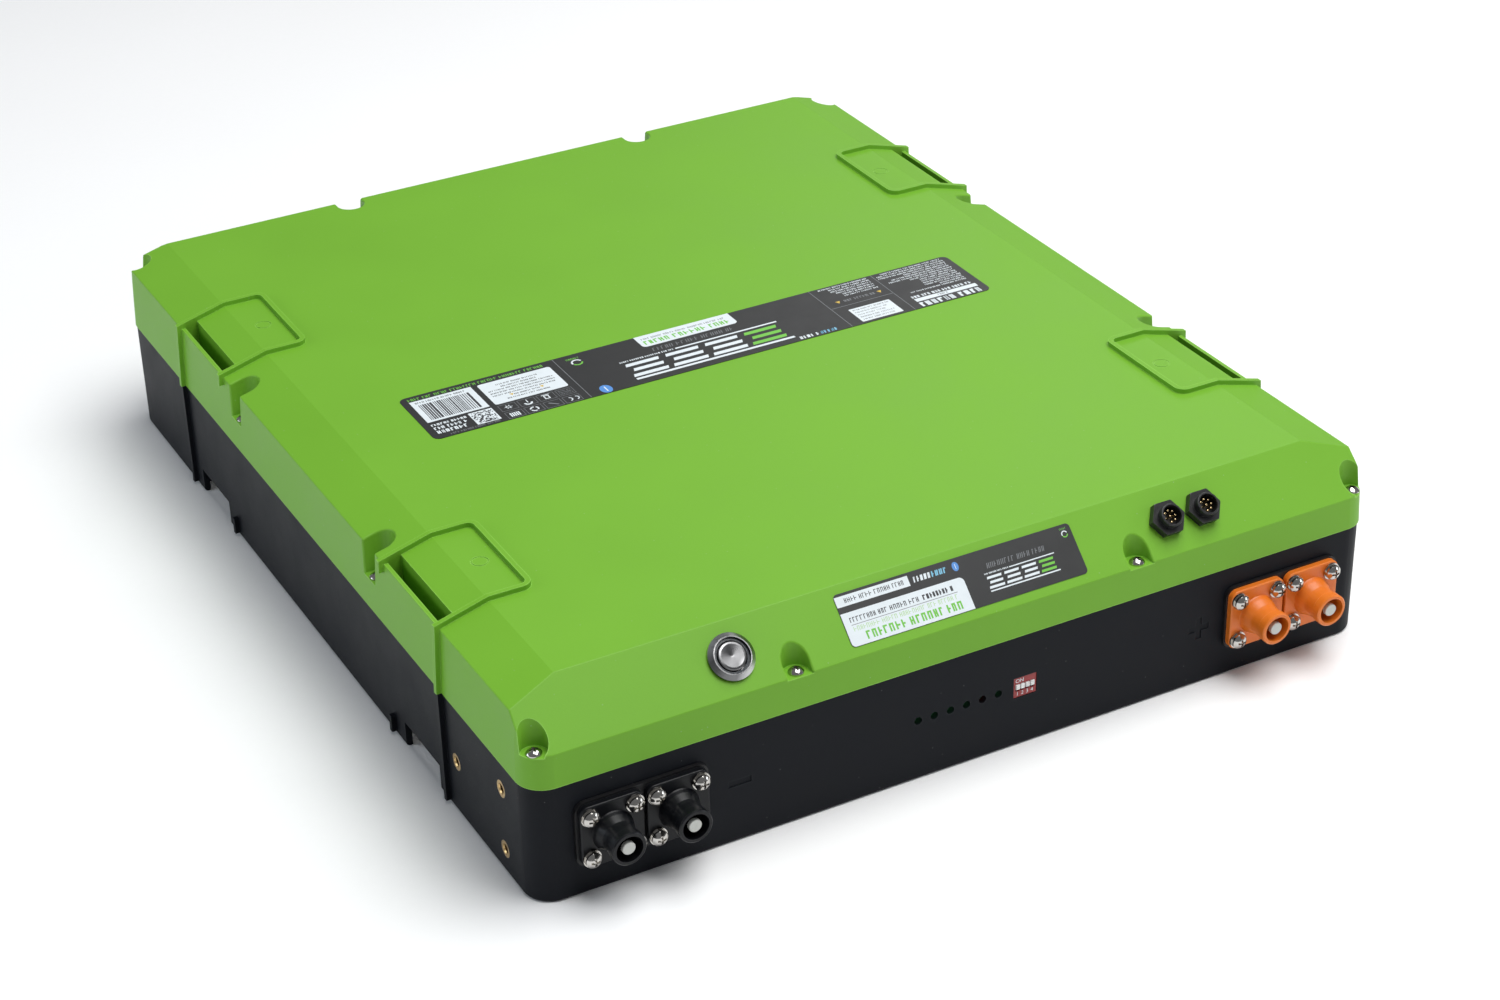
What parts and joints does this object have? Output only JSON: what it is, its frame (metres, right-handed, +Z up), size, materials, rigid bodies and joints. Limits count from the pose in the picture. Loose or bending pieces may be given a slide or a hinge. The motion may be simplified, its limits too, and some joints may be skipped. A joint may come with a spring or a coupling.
{
  "type": "deep cycle battery",
  "caption": "Flat sealed lithium deep cycle battery case with push-on terminals, network sockets, power button, indicator lamps, address switch and strap slots.",
  "frame": {"origin": "centre of the underside of the case", "axes": "+X to the right as seen from the terminal face, +Y to the back, +Z up"},
  "size_m": [0.4348, 0.5227, 0.0991],
  "materials": {
    "lid_green": "fine satin grain",
    "base_black": "fine satin grain",
    "terminal_orange": "semi-gloss moulded",
    "terminal_black": "semi-gloss moulded",
    "seal_black": "matt rubber",
    "screw_chrome": "bright plated",
    "insert_brass": "machined",
    "pin_metal": "silver plated",
    "pin_cap_grey": "smooth",
    "button_steel": "turned and radially brushed",
    "button_ring": "smoked translucent",
    "spring_steel": "drawn wire",
    "copper": "tinned edges, bare faces",
    "cell_blue": "film wrapped",
    "foam_grey": "closed-cell foam",
    "board_green": "solder mask",
    "heatsink_aluminium": "anodised",
    "chip_black": "moulded epoxy",
    "lamp_green": "translucent",
    "lamp_red": "translucent",
    "switch_red": "satin moulded",
    "switch_white": "satin moulded",
    "socket_black": "satin moulded",
    "pin_gold": "gold plated",
    "label_print": "satin printed film",
    "fuse_grey": "ceramic"
  },
  "bodies": {
    "case": {"base_tray": "base_black", "lid_cover": "lid_green", "lid_gasket": "seal_black", "lid_screws": "screw_chrome", "lid_screw_inserts": "insert_brass", "side_mount_inserts": "insert_brass", "positive_terminal_gasket": "seal_black", "negative_terminal_gasket": "seal_black", "positive_terminal_housing_inner": "terminal_orange", "positive_terminal_housing_outer": "terminal_orange", "negative_terminal_housing_inner": "terminal_black", "negative_terminal_housing_outer": "terminal_black", "terminal_pins": "pin_metal", "terminal_pin_caps": "pin_cap_grey", "terminal_screws": "screw_chrome", "terminal_split_washers": "screw_chrome", "terminal_flat_washers": "screw_chrome", "terminal_stud_nuts": "screw_chrome", "positive_terminal_busbar": "copper", "negative_terminal_busbar": "copper", "main_fuse": "fuse_grey", "positive_main_busbar": "copper", "negative_main_busbar": "copper", "cell_1": "cell_blue", "cell_2": "cell_blue", "cell_3": "cell_blue", "cell_4": "cell_blue", "cell_terminal_nuts": "screw_chrome", "series_links": "copper", "cell_spacer_sheets": "foam_grey", "cell_bottom_pad": "foam_grey", "cell_top_pad": "foam_grey", "bms_board": "board_green", "bms_heatsink": "heatsink_aluminium", "bms_mosfets": "chip_black", "bms_standoffs": "insert_brass", "bms_screws": "screw_chrome", "wireless_module": "chip_black", "indicator_board": "board_green", "charge_leds_green": "lamp_green", "fault_led_red": "lamp_red", "dip_switch_body": "switch_red", "power_button_body": "button_steel", "power_button_light_ring": "button_ring", "power_button_seal": "seal_black", "power_button_nut": "button_steel", "power_button_spring": "spring_steel", "network_socket_shells": "socket_black", "network_socket_inserts": "socket_black", "network_socket_pins": "pin_gold", "network_socket_nuts": "socket_black", "network_socket_seals": "seal_black", "top_label": "label_print", "front_label": "label_print"},
    "button_plunger": {"power_button_cap": "button_steel"},
    "switch_slider_1": {"dip_slider_1": "switch_white"},
    "switch_slider_2": {"dip_slider_2": "switch_white"},
    "switch_slider_3": {"dip_slider_3": "switch_white"},
    "switch_slider_4": {"dip_slider_4": "switch_white"}
  },
  "joints": [
    {"name": "power_button_press", "type": "slide", "parent": "case", "child": "button_plunger", "axis": [0, 0.6909, -0.723], "range_m": [0, 0.0025], "stiffness_N_per_m": 900, "springref_m": -0.002, "deforming": ["power_button_spring"]},
    {"name": "dip_slider_1_slide", "type": "slide", "parent": "case", "child": "switch_slider_1", "axis": [0, 0, -1], "range_m": [0, 0.001]},
    {"name": "dip_slider_2_slide", "type": "slide", "parent": "case", "child": "switch_slider_2", "axis": [0, 0, -1], "range_m": [0, 0.001]},
    {"name": "dip_slider_3_slide", "type": "slide", "parent": "case", "child": "switch_slider_3", "axis": [0, 0, -1], "range_m": [0, 0.001]},
    {"name": "dip_slider_4_slide", "type": "slide", "parent": "case", "child": "switch_slider_4", "axis": [0, 0, -1], "range_m": [0, 0.001]}
  ]
}
